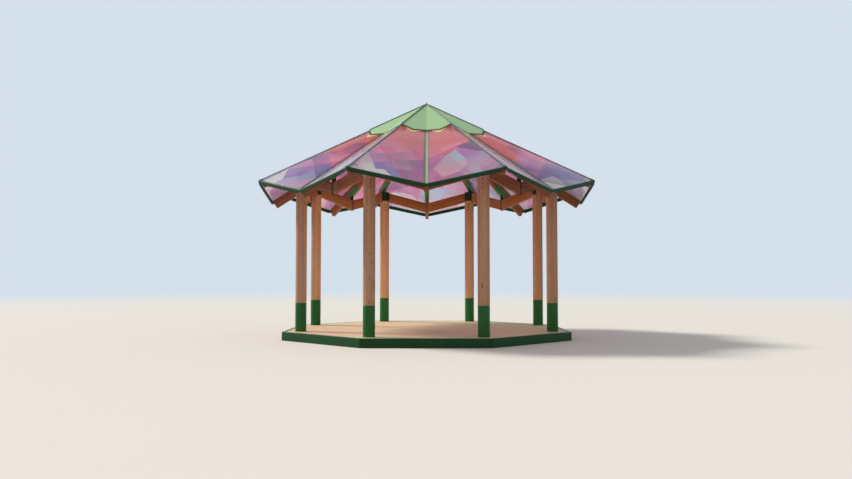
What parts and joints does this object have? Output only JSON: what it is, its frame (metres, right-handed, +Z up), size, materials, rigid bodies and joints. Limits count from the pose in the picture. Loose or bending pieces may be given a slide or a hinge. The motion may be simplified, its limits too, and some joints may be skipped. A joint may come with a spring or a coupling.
{
  "type": "bandstand",
  "caption": "Open octagonal shelter on a low plinth, with round timber posts, V-shaped ring beams and a folded roof of printed translucent sheets under a pale metal crown.",
  "frame": {"origin": "centre of the plinth's underside, on the ground", "axes": "+Z up, front bay towards -Y, +X to the right seen from the front"},
  "size_m": [8.047, 8.047, 6.09],
  "materials": {
    "plinth_green": "satin paint",
    "concrete": "plain cast",
    "floor_surface": "fine aggregate with pale coloured bands",
    "post_timber": "planed and oiled",
    "beam_timber": "planed and oiled",
    "foot_green": "satin paint",
    "dark_green_steel": "satin paint",
    "shoe_green_steel": "satin paint",
    "printed_panel": "translucent sheet with a printed pattern",
    "trim_green": "satin paint",
    "ridge_metal": "satin paint",
    "pale_green_metal": "satin paint",
    "yellow_sheet": "satin paint"
  },
  "bodies": {
    "root": {"plinth_rim": "plinth_green", "plinth_core": "concrete", "stage_floor": "floor_surface", "post_1": "post_timber", "post_2": "post_timber", "post_3": "post_timber", "post_4": "post_timber", "post_5": "post_timber", "post_6": "post_timber", "post_7": "post_timber", "post_8": "post_timber", "post_feet": "foot_green", "post_heads": "dark_green_steel", "ring_beams_1": "beam_timber", "ring_beams_2": "beam_timber", "ring_beams_3": "beam_timber", "ring_beams_4": "beam_timber", "ring_beams_5": "beam_timber", "ring_beams_6": "beam_timber", "ring_beams_7": "beam_timber", "ring_beams_8": "beam_timber", "junction_plates": "dark_green_steel", "ridge_rafters": "beam_timber", "valley_rafters": "beam_timber", "ridge_shoes": "shoe_green_steel", "valley_shoes": "shoe_green_steel", "roof_hub": "dark_green_steel", "roof_panels_1": "printed_panel", "roof_panels_2": "printed_panel", "roof_panels_3": "printed_panel", "roof_panels_4": "printed_panel", "roof_panels_5": "printed_panel", "roof_panels_6": "printed_panel", "roof_panels_7": "printed_panel", "roof_panels_8": "printed_panel", "eave_trims": "trim_green", "ridge_flashings": "ridge_metal", "ridge_tips": "trim_green", "valley_gutters": "pale_green_metal", "crown": "pale_green_metal", "crown_caps": "trim_green", "crown_leaves": "yellow_sheet", "finial": "pale_green_metal"}
  },
  "joints": []
}
